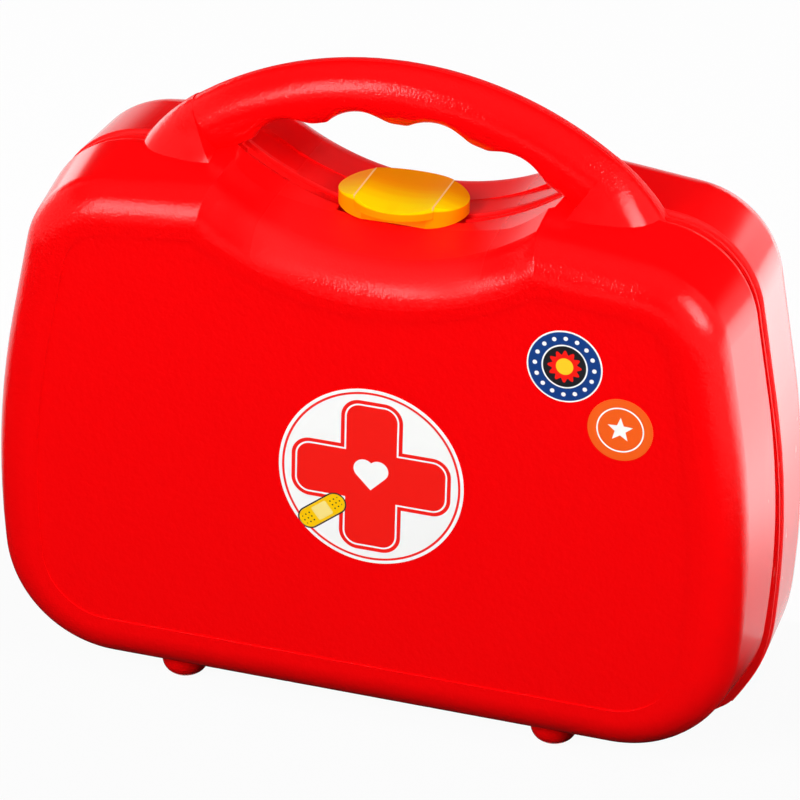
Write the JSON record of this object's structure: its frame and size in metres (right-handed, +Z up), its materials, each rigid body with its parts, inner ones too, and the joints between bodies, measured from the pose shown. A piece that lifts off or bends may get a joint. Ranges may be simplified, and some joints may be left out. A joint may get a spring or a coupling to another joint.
{
  "type": "toy doctor case",
  "caption": "Hinged plastic carrying case of two drafted half shells with an arched grip, shut by an oval sliding latch in the scoop under the grip.",
  "frame": {"origin": "on the floor under the middle of the closed case", "axes": "+Z up, the front panel faces -Y, +X to the right as seen from the front"},
  "size_m": [0.2668, 0.083, 0.2263],
  "materials": {
    "red_shell": "glossy side walls, finely grained front panel and grip",
    "pin": "plain wire",
    "yellow_latch": "glossy",
    "white_label": "printed film",
    "blue_label": "printed film",
    "orange_label": "printed film"
  },
  "bodies": {
    "case": {"back_shell": "red_shell", "hinge_pin_left": "pin", "hinge_pin_right": "pin"},
    "lid": {"front_shell": "red_shell", "label_main": "white_label", "label_ring": "blue_label", "label_dot": "orange_label"},
    "latch": {"latch_slider": "yellow_latch", "latch_retainer": "yellow_latch"}
  },
  "joints": [
    {"name": "lid_hinge", "type": "hinge", "parent": "case", "child": "lid", "pos_m": [0, -0.002, 0.0031], "axis": [1, 0, 0], "range_deg": [0, 150]},
    {"name": "latch_slide", "type": "hinge", "parent": "case", "child": "latch", "pos_m": [0, 0.001, 0.268], "axis": [0, 1, 0], "range_deg": [0, 4.8]}
  ]
}
